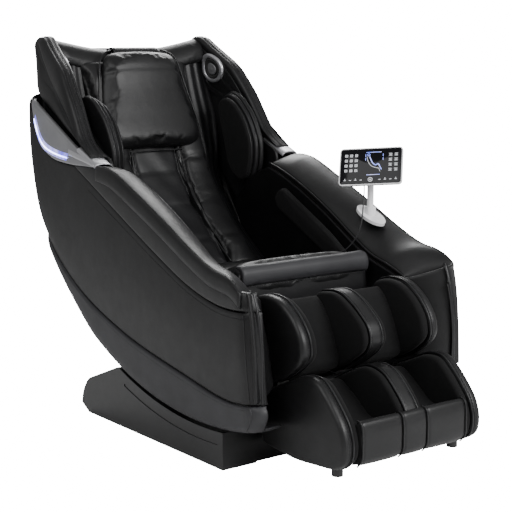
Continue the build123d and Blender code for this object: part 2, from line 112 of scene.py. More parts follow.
def inset(loop, amount):
    """A closed 2-D loop moved inwards, by less where it is too narrow for the whole amount."""
    loop = np.asarray(loop, float)
    normal = inward(loop)
    if amount <= 3:
        return loop + normal * amount
    gap = loop[None] - loop[:, None]
    far = np.linalg.norm(gap, axis=2) + 1e-9
    facing = np.einsum("ijk,ik->ij", gap, normal) / far > 0.7
    width = np.where(facing, far, 1e6).min(axis=1)
    reach = np.minimum(amount, 0.42 * width)
    for _ in range(3):
        reach = np.minimum(reach, (np.roll(reach, 1) + reach + np.roll(reach, -1)) / 3)
    return loop + normal * reach[:, None]


def loop3(loop, x):
    """A (y, z) loop as 3-D points at one x."""
    loop = np.asarray(loop, float)
    return np.column_stack([np.full(len(loop), x), loop])


def mesh_piece(name, verts, faces, material, body, levels=0, smooth=True):
    """A piece from millimetre vertices, riding on a body unless that is None."""
    mesh = bpy.data.meshes.new(name)
    mesh.from_pydata([tuple(np.array(v, float) * MM) for v in verts], [], [tuple(f) for f in faces])
    mesh.validate()
    mesh.update()
    piece = bpy.data.objects.new(name, mesh)
    bpy.context.scene.collection.objects.link(piece)
    mesh.polygons.foreach_set("use_smooth", [smooth] * len(mesh.polygons))
    mesh.materials.append(material)
    face_outwards(piece)
    if levels:
        sub = piece.modifiers.new("Subdivision", "SUBSURF")
        sub.levels = sub.render_levels = levels
    if body:
        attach(piece, body)
    return piece


def face_outwards(piece):
    """Makes a closed mesh's normals agree and point outwards."""
    import bmesh
    bm = bmesh.new()
    bm.from_mesh(piece.data)
    bmesh.ops.recalc_face_normals(bm, faces=bm.faces)
    bm.to_mesh(piece.data)
    bm.free()


def rings_mesh(rings, cap_start=True, cap_end=True):
    """Vertices and faces of a tube of equal rings, capped with fans."""
    rings = [np.array(ring, float) for ring in rings]
    count = len(rings[0])
    verts = [p for ring in rings for p in ring]
    faces = []
    for i in range(len(rings) - 1):
        for k in range(count):
            a, b = i * count + k, i * count + (k + 1) % count
            faces.append((a, b, b + count, a + count))
    for cap, ring_at in ((cap_start, 0), (cap_end, len(rings) - 1)):
        if cap:
            verts.append(rings[ring_at].mean(axis=0))
            middle = len(verts) - 1
            faces += [(ring_at * count + k, ring_at * count + (k + 1) % count,
                       middle) for k in range(count)]
    return verts, faces


def thick_sheet(rows, depth):
    """A closed skin: the sheet and its copy moved by depth(row, column) vectors."""
    rows = np.array(rows, float)
    back = rows + depth
    n, m = rows.shape[:2]
    verts = list(rows.reshape(-1, 3)) + list(back.reshape(-1, 3))
    faces = []
    off = n * m
    for i in range(n - 1):
        for k in range(m - 1):
            a = i * m + k
            faces.append((a, a + 1, a + m + 1, a + m))
            faces.append((off + a, off + a + m, off + a + m + 1, off + a + 1))
    rim = [i * m for i in range(n)] + [(n - 1) * m + k for k in range(1, m)]
    rim += [i * m + m - 1 for i in range(n - 2, -1, -1)] + [k for k in range(m - 2, 0, -1)]
    for a, b in zip(rim, rim[1:] + rim[:1]):
        faces.append((a, b, off + b, off + a))
    return verts, faces


def tube_mesh(path, radius, sides=8, closed=False):
    """Vertices and faces of a round tube along 3-D points."""
    path = np.array(path, float)
    count = len(path)
    if closed:
        ahead = np.roll(path, -1, 0) - np.roll(path, 1, 0)
    else:
        ahead = np.gradient(path, axis=0)
    ahead /= np.linalg.norm(ahead, axis=1)[:, None] + 1e-9
    up = np.cross(ahead[0], (0.31, 0.52, 0.79))
    up /= np.linalg.norm(up)
    rings = []
    for p, d in zip(path, ahead):
        up = up - d * np.dot(up, d)
        up /= np.linalg.norm(up)
        out = np.cross(d, up)
        angles = np.linspace(0, 2 * math.pi, sides, endpoint=False)
        rings.append([p + radius * (math.cos(a) * up + math.sin(a) * out) for a in angles])
    if not closed:
        return rings_mesh(rings)
    verts = [p for ring in rings for p in ring]
    faces = []
    for i in range(count):
        for k in range(sides):
            j = (i + 1) % count
            faces.append((i * sides + k, i * sides + (k + 1) % sides, j * sides + (k + 1) % sides,
                          j * sides + k))
    return verts, faces


def piping(name, path, body, radius=2.6, closed=False, material=None):
    """A leather-covered cord along a seam."""
    return mesh_piece(name, *tube_mesh(path, radius, 8, closed), material or leather_piping, body)


def stitches(name, path, body, pitch=8.0, length=5.4, radius=0.7):
    """A row of stitches along 3-D points."""
    path = np.array(path, float)
    travel = np.concatenate([[0], np.cumsum(np.linalg.norm(np.diff(path, axis=0), axis=1))])
    verts, faces = [], []
    for start in np.arange(pitch / 2, travel[-1] - length, pitch):
        ends = [np.array([np.interp(start + s, travel, path[:, k]) for k in range(3)])
                for s in (0, length / 2, length)]
        v, f = tube_mesh(ends, radius, 5)
        faces += [tuple(i + len(verts) for i in face) for face in f]
        verts += v
    return mesh_piece(name, verts, faces, thread, body)


def pad_rings(loop, x_in, x_out, roll, crown_in, crown_out):
    """Rings of a padded slab: rolled edges and crowned faces."""
    loop = np.array(loop, float)
    steps = 4
    sign = 1 if x_out > x_in else -1
    middle = loop.mean(axis=0)
    rings = []

    def ring(flat, x):
        rings.append(np.column_stack([np.full(len(flat), x), flat]))

    def face(edge_x, outwards, crown):
        base = inset(loop, roll)
        out = []
        for share in (0.16, 0.4, 0.64, 0.86):
            lift = crown * (1 - share ** 2)
            out.append((middle + (base - middle) * share, edge_x + outwards * lift))
        return out

    for flat, x in face(x_in, -sign, crown_in):
        ring(flat, x)
    for k in range(steps + 1):
        turn = math.pi / 2 * k / steps
        ring(inset(loop, roll * (1 - math.sin(turn))), x_in + sign * roll * (1 - math.cos(turn)))
    for k in range(steps + 1):
        turn = math.pi / 2 * (1 - k / steps)
        ring(inset(loop, roll * (1 - math.sin(turn))), x_out - sign * roll * (1 - math.cos(turn)))
    for flat, x in reversed(face(x_out, sign, crown_out)):
        ring(flat, x)
    return rings


def pad(name, loop, x_in, x_out, material, body, roll=12, crown_in=3, crown_out=3, levels=1):
    """A padded slab standing along YZ."""
    piece = mesh_piece(name, *rings_mesh(pad_rings(loop, x_in, x_out, roll, crown_in, crown_out)), material,
                       body, levels)
    return piece


# ---------------------------------------------------------------- materials
def new_material(name):
    """A material, its principled shader, its nodes and its link function."""
    material = bpy.data.materials.new(name)
    material.use_nodes = True
    nodes = material.node_tree.nodes
    return material, nodes["Principled BSDF"], nodes, material.node_tree.links.new


def noise_node(nodes, link, coords, scale, detail=4.0, roughness=0.55):
    """A noise texture in object space."""
    noise = nodes.new("ShaderNodeTexNoise")
    noise.inputs["Scale"].default_value = scale
    noise.inputs["Detail"].default_value = detail
    noise.inputs["Roughness"].default_value = roughness
    link(coords, noise.inputs["Vector"])
    return noise.outputs["Fac"]


def ramp_node(nodes, link, value, low, high, start=0.3, end=0.7):
    """Maps a value to a colour between two."""
    ramp = nodes.new("ShaderNodeValToRGB")
    ramp.color_ramp.elements[0].position = start
    ramp.color_ramp.elements[0].color = (*low, 1)
    ramp.color_ramp.elements[1].position = end
    ramp.color_ramp.elements[1].color = (*high, 1)
    link(value, ramp.inputs["Fac"])
    return ramp.outputs["Color"]


def span_node(nodes, link, value, low, high):
    """Maps a value from 0..1 to low..high."""
    span = nodes.new("ShaderNodeMapRange")
    span.inputs["To Min"].default_value = low
    span.inputs["To Max"].default_value = high
    link(value, span.inputs["Value"])
    return span.outputs["Result"]


def bump_node(nodes, link, height, strength, distance, under=None):
    """A bump, over another one if given."""
    bump = nodes.new("ShaderNodeBump")
    bump.inputs["Strength"].default_value = strength
    bump.inputs["Distance"].default_value = distance
    link(height, bump.inputs["Height"])
    if under is not None:
        link(under, bump.inputs["Normal"])
    return bump.outputs["Normal"]


def leather(name, dark, light, rough=(0.34, 0.5), grain=620.0, wrinkle=0.35):
    """Coated leather: pebbled grain, soft wrinkles, uneven sheen and slightly worn colour."""
    material, shader, nodes, link = new_material(name)
    coords = nodes.new("ShaderNodeTexCoord").outputs["Object"]
    patches = noise_node(nodes, link, coords, 9.0, 5.0)
    link(ramp_node(nodes, link, patches, dark, light), shader.inputs["Base Color"])
    link(span_node(nodes, link, noise_node(nodes, link, coords, 26.0, 6.0), *rough),
         shader.inputs["Roughness"])
    cells = nodes.new("ShaderNodeTexVoronoi")
    cells.feature = "DISTANCE_TO_EDGE"
    cells.inputs["Scale"].default_value = grain
    link(coords, cells.inputs["Vector"])
    wide = bump_node(nodes, link, noise_node(nodes, link, coords, 34.0, 5.0), wrinkle, 0.0012)
    fine = bump_node(nodes, link, cells.outputs["Distance"], 0.32, 0.00035, wide)
    link(fine, shader.inputs["Normal"])
    shader.inputs["Specular IOR Level"].default_value = 0.34
    return material


def woven(name, dark, light, pitch=900.0):
    """Close black knit: two crossed sets of threads with a soft sheen."""
    material, shader, nodes, link = new_material(name)
    coords = nodes.new("ShaderNodeTexCoord").outputs["Object"]
    height = None
    for direction in ("X", "Z"):
        wave = nodes.new("ShaderNodeTexWave")
        wave.bands_direction = direction
        wave.inputs["Scale"].default_value = pitch / 6.3
        wave.inputs["Distortion"].default_value = 0.6
        link(coords, wave.inputs["Vector"])
        height = bump_node(nodes, link, wave.outputs["Fac"], 0.35, 0.0004, height)
    link(height, shader.inputs["Normal"])
    link(ramp_node(nodes, link, noise_node(nodes, link, coords, 60.0), dark, light),
         shader.inputs["Base Color"])
    shader.inputs["Roughness"].default_value = 0.86
    shader.inputs["Sheen Weight"].default_value = 0.03
    shader.inputs["Specular IOR Level"].default_value = 0.25
    return material


def moulded(name, dark, light, rough=(0.3, 0.42), metallic=0.0, texture=0.12, coat=0.0):
    """Moulded plastic or painted metal: faint flow marks, fine spark texture, uneven gloss."""
    material, shader, nodes, link = new_material(name)
    coords = nodes.new("ShaderNodeTexCoord").outputs["Object"]
    link(ramp_node(nodes, link, noise_node(nodes, link, coords, 7.0, 3.0), dark, light),
         shader.inputs["Base Color"])
    link(span_node(nodes, link, noise_node(nodes, link, coords, 45.0), *rough), shader.inputs["Roughness"])
    link(bump_node(nodes, link, noise_node(nodes, link, coords, 1400.0, 2.0), texture, 0.0002),
         shader.inputs["Normal"])
    shader.inputs["Metallic"].default_value = metallic
    shader.inputs["Coat Weight"].default_value = coat
    return material


def glowing(name, colour, strength):
    """A lit light guide, brighter in places as LEDs make it."""
    material, shader, nodes, link = new_material(name)
    coords = nodes.new("ShaderNodeTexCoord").outputs["Object"]
    link(ramp_node(nodes, link, noise_node(nodes, link, coords, 30.0), colour, (0.95, 0.95, 1.0)),
         shader.inputs["Emission Color"])
    shader.inputs["Base Color"].default_value = (*colour, 1)
    shader.inputs["Emission Strength"].default_value = strength
    return material


leather_black = leather("leather_black", (0.0042, 0.0042, 0.0045), (0.0075, 0.0075, 0.008))
leather_grey = leather("leather_grey", (0.021, 0.021, 0.023), (0.03, 0.03, 0.033), rough=(0.42, 0.56))
leather_soft = leather("leather_soft", (0.005, 0.005, 0.0055), (0.009, 0.009, 0.0098), rough=(0.36, 0.52),
                       wrinkle=0.5)
leather_piping = leather("leather_piping", (0.007, 0.007, 0.0075), (0.013, 0.013, 0.014),
                         rough=(0.26, 0.36), grain=900.0, wrinkle=0.1)
thread = leather("thread", (0.018, 0.018, 0.019), (0.03, 0.03, 0.032), rough=(0.5, 0.7), grain=2400.0,
                 wrinkle=0.1)
knit = woven("knit", (0.0016, 0.0016, 0.0018), (0.003, 0.003, 0.0033))
plastic_black = moulded("plastic_black", (0.0035, 0.0035, 0.0038), (0.006, 0.006, 0.0065),
                        rough=(0.3, 0.42))
silver = moulded("silver", (0.42, 0.42, 0.44), (0.56, 0.56, 0.58), rough=(0.24, 0.34), metallic=0.75)
silver_dark = moulded("silver_dark", (0.22, 0.22, 0.23), (0.3, 0.3, 0.31), rough=(0.3, 0.42), metallic=0.6)
white_gloss = moulded("white_gloss", (0.74, 0.74, 0.75), (0.82, 0.82, 0.83), rough=(0.18, 0.26), coat=0.3)
rubber = moulded("rubber", (0.012, 0.012, 0.012), (0.02, 0.02, 0.02), rough=(0.6, 0.75), texture=0.3)
steel_black = moulded("steel_black", (0.02, 0.02, 0.021), (0.032, 0.032, 0.034), rough=(0.4, 0.5),
                      metallic=0.4)
nylon = moulded("nylon", (0.5, 0.5, 0.48), (0.6, 0.6, 0.58), rough=(0.5, 0.6))
light_line = glowing("light_line", (0.22, 0.26, 1.0), 9.0)
light_halo = glowing("light_halo", (0.09, 0.08, 0.75), 1.1)
icon_white = glowing("icon_white", (0.6, 0.62, 0.65), 0.9)
icon_blue = glowing("icon_blue", (0.12, 0.2, 0.9), 1.6)


def screen_glass():
    """Black front glass with a deep gloss and faint finger marks."""
    material, shader, nodes, link = new_material("screen_glass")
    coords = nodes.new("ShaderNodeTexCoord").outputs["Object"]
    link(ramp_node(nodes, link, noise_node(nodes, link, coords, 14.0), (0.002, 0.002, 0.003),
                   (0.004, 0.004, 0.006)), shader.inputs["Base Color"])
    link(span_node(nodes, link, noise_node(nodes, link, coords, 60.0, 6.0), 0.05, 0.14),
         shader.inputs["Roughness"])
    shader.inputs["Specular IOR Level"].default_value = 0.18
    return material


black_glass = screen_glass()


# ---------------------------------------------------------------- stage
WORLD_LIGHT = 0.42       # what the chair is lit with; the camera sees a whiter backdrop and floor
BACKDROP_WHITE = 22.0
FLOOR_WHITE = 22.0


def camera_and_light():
    """Camera at the showroom angle, pale floor, three soft lights and a pale world."""
    lens = bpy.data.cameras.new("camera")
    lens.lens = 93.45
    lens.sensor_width = 36
    camera = bpy.data.objects.new("camera", lens)
    camera.location = (-2.3261, -3.1084, 1.135)
    camera.rotation_euler = (math.radians(80.6314), 0, math.radians(-37.14))
    bpy.context.scene.collection.objects.link(camera)
    bpy.context.scene.camera = camera

    mesh = bpy.data.meshes.new("floor")
    mesh.from_pydata([(-9, -9, 0), (9, -9, 0), (9, 9, 0), (-9, 9, 0)], [], [(0, 1, 2, 3)])
    floor = bpy.data.objects.new("floor", mesh)
    paint, shader, nodes, link = new_material("floor_paint")
    coords = nodes.new("ShaderNodeTexCoord").outputs["Object"]
    link(ramp_node(nodes, link, noise_node(nodes, link, coords, 2.0), (0.93, 0.93, 0.93),
                   (0.96, 0.96, 0.96)), shader.inputs["Base Color"])
    shader.inputs["Roughness"].default_value = 0.7
    seen = nodes.new("ShaderNodeLightPath").outputs["Is Camera Ray"]
    shader.inputs["Emission Color"].default_value = (1, 1, 1, 1)
    link(span_node(nodes, link, seen, 0.0, FLOOR_WHITE), shader.inputs["Emission Strength"])
    mesh.materials.append(paint)
    bpy.context.scene.collection.objects.link(floor)

    world = bpy.data.worlds.new("studio")
    world.use_nodes = True
    nodes, link = world.node_tree.nodes, world.node_tree.links.new
    backdrop = nodes["Background"]
    backdrop.inputs["Color"].default_value = (1, 1, 1, 1)
    seen = nodes.new("ShaderNodeLightPath").outputs["Is Camera Ray"]
    link(span_node(nodes, link, seen, WORLD_LIGHT, BACKDROP_WHITE), backdrop.inputs["Strength"])
    bpy.context.scene.world = world

    for name, place, size, power in (("key", (-2.6, -1.2, 3.2), 2.2, 58),
                                     ("front", (0.9, -3.4, 2.4), 1.8, 150),
                                     ("rim", (1.8, 2.6, 2.8), 2.0, 110)):
        data = bpy.data.lights.new(name, "AREA")
        data.energy = power
        data.size = size
        lamp = bpy.data.objects.new(name, data)
        lamp.location = place
        lamp.rotation_euler = (Vector((0, 0, 0.55)) - Vector(place)).to_track_quat("-Z", "Y").to_euler()
        bpy.context.scene.collection.objects.link(lamp)


camera_and_light()


# ---------------------------------------------------------------- side shells
BAND_TOP = [(-520, 212), (-400, 202), (-200, 232), (100, 291), (345, 378), (500, 478), (566, 548)]
REAR_EDGE = [(566, 548), (632, 640), (668, 760), (688, 870), (694, 960)]
ARM_LINE = [(-478, 498), (-350, 520), (-255, 560), (-108, 630), (13, 688), (145, 743), (215, 760),
            (248, 756)]
FRONT_EDGE = [(-520, 212), (-514, 333), (-496, 450), (-478, 498)]
SEAM = [(-494, 452), (-372, 449), (-235, 479), (-81, 542), (140, 646), (368, 756)]
GLIDE = (-258, 1250)
SHELL_R = 1142


def coons(front, low, rear, top, columns, rows):
    """A four-sided patch between its edges; shares runs along and across it."""
    columns, rows = np.array(columns), np.array(rows)

    def at(line, shares):
        fine = smooth_line(line, 400)
        return np.column_stack([np.interp(shares * 399, np.arange(400), fine[:, k]) for k in range(2)])
    f, r = at(front, rows), at(rear, rows)
    b, t = at(low, columns), at(top, columns)
    grid = np.zeros((len(rows), len(columns), 2))
    for i, v in enumerate(rows):
        for k, u in enumerate(columns):
            mixed = (1 - u) * f[i] + u * r[i] + (1 - v) * b[k] + v * t[k]
            corners = (1 - u) * (1 - v) * b[0] + u * (1 - v) * b[-1] + (1 - u) * v * t[0] + u * v * t[-1]
            grid[i, k] = mixed - corners
    return grid


def eased(count, near=0.012):
    """Shares from 0 to 1, with extra ones beside both ends for rolled edges."""
    inner = list(np.linspace(0.0, 1.0, count))
    return [0.0, near * 0.35, near, near * 2.4] + inner[1:-1] + [1 - near * 2.4, 1 - near, 1 - near * 0.35,
                                                                 1.0]


def edge_drop(distance, width, depth):
    """How far a rolled edge falls at a distance from its seam."""
    left = np.clip(1 - np.asarray(distance) / width, 0, 1)
    return depth * (1 - np.sqrt(np.clip(1 - left ** 2, 0, 1)))


def edge_distances(grid):
    """Distances of each grid point from the first and last row and column."""
    dist = lambda a: np.linalg.norm(a, axis=2)
    return (dist(grid - grid[:1]), dist(grid - grid[-1:]), dist(grid - grid[:, :1]),
            dist(grid - grid[:, -1:]))


def skin_panel(name, grid, side, x_of, material, body, depth=10, levels=1):
    """An upholstered panel: the (y, z) grid at x_of(grid), with its back a little inside."""
    x = x_of(grid)
    rows = np.dstack([side * x, grid[:, :, 0], grid[:, :, 1]])
    return mesh_piece(name, *thick_sheet(rows, np.array([-side * depth, 0, 0])), material, body,
                      levels), rows


def shell_x(grid, tucks, top_out=376.0, nose=46.0, tail=70.0, belly=6.0):
    """The shell's half width: a slight belly, rounded nose and tail, tucked seams."""
    low, top, front, rear = edge_distances(grid)
    share = low / (low + top + 1e-6)
    x = top_out - belly + belly * np.sin(math.pi * np.clip(share, 0, 1))
    x = x - edge_drop(front, nose, nose * 0.8) - edge_drop(rear, tail, tail)
    for distance, (width, depth) in zip((low, top, front, rear), tucks):
        if width:
            x = x - edge_drop(distance, width, depth)
    return x


def split_line(points, share):
    """A curve's part before or after a share of its length."""
    fine = smooth_line(points, 200)
    cut = int(share * 199)
    return fine[: cut + 1], fine[cut:]


def side_shell(word, side):
    """Main panel below the long seam and the strip above it."""
    front_low, front_high = split_line(FRONT_EDGE, 0.83)
    seam = [tuple(front_low[-1])] + SEAM[1:]
    rear_top = [(368, 756), (397, 757), (497, 767), (556, 796), (606, 850), (650, 920), (694, 960)]
    top = [tuple(p) for p in smooth_line(seam, 40)] + [tuple(p) for p in smooth_line(rear_top, 16)[1:]]
    grid = coons(front_low[::6], BAND_TOP, REAR_EDGE, top, eased(64), eased(30))
    tucks = ((7, 5), (7, 4), (0, 0), (0, 0))
    panel, rows = skin_panel(f"side_panel_{word}", grid, side, lambda g: shell_x(g, tucks), leather_black,
                             "seat")
    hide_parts(f"side_shell_{word}")
    for offset in (0.055, 0.075):
        line = rows[np.argmin(abs(np.array(eased(30)) - (1 - offset)))]
        stitches(f"side_seam_{word}_{int(offset * 1000)}", line[3:44], "seat")

    upper = coons(front_high[::4], seam, [(368, 756), (300, 758), (248, 756)], ARM_LINE, eased(50),
                  eased(8, 0.05))
    tucks = ((7, 4), (8, 5), (0, 0), (0, 0))
    skin_panel(f"arm_strip_{word}", upper, side, lambda g: shell_x(g, tucks, top_out=378, tail=1, belly=3),
               leather_black, "seat")
    edge = smooth_line([(y + 5, z) for y, z in FRONT_EDGE], 50)
    piping(f"shell_front_piping_{word}", loop3(edge, side * 341), "seat", 5.5)


def side_band(word, side):
    """Grey lower band that curls under the shell."""
    arc = [(GLIDE[0] + SHELL_R * math.sin(math.radians(a)), GLIDE[1] - SHELL_R * math.cos(math.radians(a)))
           for a in np.linspace(-12.2, 29, 12)]
    low = arc + [(410, 338), (500, 420), (566, 500), (590, 556)]
    under = [(y - 1, z - 2) for y, z in BAND_TOP[:-1]] + [(590, 570)]
    front = [arc[0], (-522, 160), (-533, 190), (-521, 210)]
    grid = coons(front, low, [(590, 556), (590, 563), (590, 570)], under, eased(70), eased(9, 0.05))

    def x_of(g):
        low_d, top_d, front_d, rear_d = edge_distances(g)
        x = 374 - edge_drop(front_d, 44, 34) - edge_drop(rear_d, 90, 78)
        return x - edge_drop(low_d, 30, 30) - edge_drop(top_d, 6, 5)
    x = x_of(grid)
    rows = np.dstack([side * x, grid[:, :, 0], grid[:, :, 1]])
    under_row = rows[:1].copy()
    under_row[:, :, 0] = side * 264
    under_row[:, :, 2] += 2
    rows = np.concatenate([under_row, rows])
    depth = np.zeros_like(rows)
    depth[:, :, 0] = -side * 9
    depth[0, :, 0] = 0
    depth[:3, :, 2] = 9
    band = mesh_piece(f"band_{word}", *thick_sheet(rows, depth), leather_grey, "seat", 1)
    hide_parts(f"side_band_{word}")
    line = rows[-5]
    stitches(f"band_seam_{word}", line[5:-8], "seat")


for word, side in SIDES.items():
    side_shell(word, side)
    side_band(word, side)


# ---------------------------------------------------------------- soft work
VOXEL = 0.006
PRESSURE = 4.0
LAST_FRAME = 20


def puffed(piece, cap):
    """Swells a closed pad by a short cloth simulation, moving no point further than cap metres."""
    piece.modifiers.clear()
    remesh = piece.modifiers.new("Remesh", "REMESH")
    remesh.mode = "VOXEL"
    remesh.voxel_size = VOXEL
    bake(piece)
    before = np.array([v.co for v in piece.data.vertices])
    settings = piece.modifiers.new("Cloth", "CLOTH").settings
    settings.quality = 5
    settings.mass = 0.3
    settings.tension_stiffness = settings.compression_stiffness = 12
    settings.bending_stiffness = 0.6
    settings.use_pressure = True
    settings.uniform_pressure_force = PRESSURE
    settings.effector_weights.gravity = 0
    for number in range(1, LAST_FRAME + 1):
        bpy.context.scene.frame_set(number)
    bake(piece)
    bpy.context.scene.frame_set(1)
    moved_by = np.array([v.co for v in piece.data.vertices]) - before
    share = np.minimum(1, cap / np.maximum(np.linalg.norm(moved_by, axis=1), 1e-9))
    piece.data.vertices.foreach_set("co", (before + moved_by * share[:, None]).ravel())
    piece.data.polygons.foreach_set("use_smooth", [True] * len(piece.data.polygons))
    piece.data.update()
    sub = piece.modifiers.new("Subdivision", "SUBSURF")
    sub.levels = sub.render_levels = 1


def bake(piece):
    """Replaces the mesh with its evaluated copy and drops the modifiers."""
    graph = bpy.context.evaluated_depsgraph_get()
    graph.update()
    fresh = bpy.data.meshes.new_from_object(piece.evaluated_get(graph), depsgraph=graph)
    piece.modifiers.clear()
    old = piece.data
    piece.data = fresh
    if not fresh.materials:
        for material in old.materials:
            fresh.materials.append(material)


def on_lines(lines, shares):
    """Points across a family of equal lines, at given shares from first to last."""
    stack = np.array(lines, float)
    where = np.linspace(0, 1, len(stack))
    flat = stack.reshape(len(stack), -1)
    mixed = np.column_stack([np.interp(shares, where, flat[:, k]) for k in range(flat.shape[1])])
    return mixed.reshape(len(shares), *stack.shape[1:])


# ---------------------------------------------------------------- wings, trims, lights, speakers
WING = [(250, 774), (346, 812), (520, 900), (622, 945), (656, 975), (682, 1060), (706, 1115), (690, 1138),
        (650, 1142), (600, 1106), (492, 1040), (413, 945), (337, 830)]
REAR_LEAN, FRONT_LEAN = 8, 3.5       # degrees inwards


def leaned(points, side):
    """Wing points tilted inwards about the line z = 800, less so towards the wing's front."""
    pts = np.array(points, float)
    lean = np.radians(np.interp(pts[:, 1], [430, 660], [FRONT_LEAN, REAR_LEAN]))
    z = pts[:, 2] - 800
    x = 372 - (372 - np.abs(pts[:, 0])) * np.cos(lean) - z * np.sin(lean)
    return np.column_stack([side * x, pts[:, 1], z * np.cos(lean) + 800])


def wing(word, side):
    """Padded head wing: a ribbed outer bolster of three rolls round a flat inner face."""
    loop = corner_loop(WING, 96, 34)
    # (inset from the outline, |x|) of the cross-section, outside to inside, with two sewn grooves
    section = [(70, 367), (44, 370), (20, 370), (6, 365), (1, 357), (4, 351), (0, 345), (-1, 338), (3, 333),
               (0, 328), (1, 321), (8, 316), (18, 315), (26, 320), (34, 316), (60, 315), (90, 316)]
    rings = [leaned(loop3(inset(loop, amount), x), side) for amount, x in section]
    piece = mesh_piece(f"head_wing_{word}", *rings_mesh(rings), leather_black, "seat", 1)
    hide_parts(f"wing_{word}")
    for at, (amount, x) in enumerate([(0.5, 354.5), (0.5, 347.5), (0.5, 336), (0.2, 330.5)]):
        path = leaned(loop3(inset(loop, amount - 0.8), x), side)
        stitches(f"wing_stitch_{word}_{at}", path[2:-2], "seat", pitch=9, length=6)
    path = leaned(loop3(inset(loop, 27), 317.5), side)
    piping(f"wing_piping_{word}", path, "seat", 2.2, closed=True)


def trim(word, side):
    """Silver wedge with a rolled rim, the light slot and its violet glow."""
    top = [(240, 765), (345, 806), (470, 868), (560, 913), (622, 944)]
    low = [(246, 757), (397, 758), (497, 768), (553, 793), (600, 847), (624, 925)]
    grid = coons([low[0], (243, 761), top[0]], low, [low[-1], (624, 935), top[-1]], top, eased(50),
                 eased(14, 0.03))

    def x_of(g):
        low_d, top_d, front_d, rear_d = edge_distances(g)
        return (376.5 - edge_drop(low_d, 7, 5) - edge_drop(top_d, 9, 7) - edge_drop(front_d, 14, 8)
                - edge_drop(rear_d, 10, 8))
    piece, rows = skin_panel(f"wedge_{word}", grid, side, x_of, silver_dark, "seat", depth=8)
    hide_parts(f"trim_{word}")
    corner = smooth_line([(246, 759), (300, 770), (352, 778), (396, 786)], 24)
    ribbon = [np.column_stack([np.full(24, side * 377.6), corner + (0, lift)]) for lift in (0, 9, 19)]
    ribbon[2][:, 2] = np.minimum(ribbon[2][:, 2], 764 + (corner[:, 0] - 240) * 0.4)
    mesh_piece(f"wedge_edge_{word}", *thick_sheet(ribbon, np.array([-side * 3, 0, 0])), silver, "seat", 1)

    crest = smooth_line([(238, 764), (290, 786), (345, 808)], 16)
    rows = [np.column_stack([np.full(16, side * x), crest + (0, lift)])
            for x, lift in ((377, -6), (376, 0), (372, 4), (360, 6), (342, 6), (326, 4), (319, 0),
                            (317, -8))]
    mesh_piece(f"wedge_saddle_{word}", *thick_sheet(rows, np.array([0, 0, -3])), silver, "seat", 1)

    line = smooth_line([(604, 884), (590, 852), (572, 824), (545, 803), (500, 789), (450, 781), (404, 777)],
                       60)
    halo = np.column_stack([np.full(60, side * 376.9), line])
    rows = [halo + (0, dy, dz) for dy, dz in ((5, -9), (0, 0), (-7, 13))]
    mesh_piece(f"light_glow_{word}", *thick_sheet(rows, np.array([-side * 2.2, 0, 0])), light_halo, "seat")
    guide = mesh_piece(f"light_guide_{word}",
                       *tube_mesh(np.column_stack([np.full(60, side * 377.2), line]), 2.3, 8), light_line,
                       "seat")
    if word == "right":
        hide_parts("led_strips")


def speaker(word, side):
    """Teardrop silver bezel, dark ring and cone on the inner face of the wing."""
    turn = np.linspace(0, 2 * math.pi, 64, endpoint=False)
    centre = np.array([584.0, 1028.0])
    reach = 45 + 13 * np.clip(np.cos(turn - math.radians(62)), 0, 1) ** 6
    outline = centre + np.column_stack([1.18 * np.cos(turn), np.sin(turn)]) * reach[:, None]

    def ring(share, x):
        return leaned(loop3(centre + (outline - centre) * share, x), side)
    bezel = [ring(1, 316), ring(1, 311), ring(0.95, 307.5), ring(0.8, 306), ring(0.72, 308), ring(0.7, 312),
             ring(0.7, 316)]
    piece = mesh_piece(f"speaker_bezel_{word}", *rings_mesh(bezel, False, False), silver, "seat", 1)
    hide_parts(f"speaker_{word}")
    mesh_piece(f"speaker_surround_{word}",
               *rings_mesh([ring(0.7, 315), ring(0.68, 309), ring(0.6, 307.5), ring(0.5, 312),
                            ring(0.3, 314)]), rubber, "seat", 1)
    mesh_piece(f"speaker_cone_{word}", *rings_mesh([ring(0.42, 312.8), ring(0.4, 308.5), ring(0.34, 307.2),
                                                    ring(0.2, 308), ring(0.06, 305.6)]), silver_dark,
               "seat", 1)


for word, side in SIDES.items():
    wing(word, side)
    trim(word, side)
    speaker(word, side)


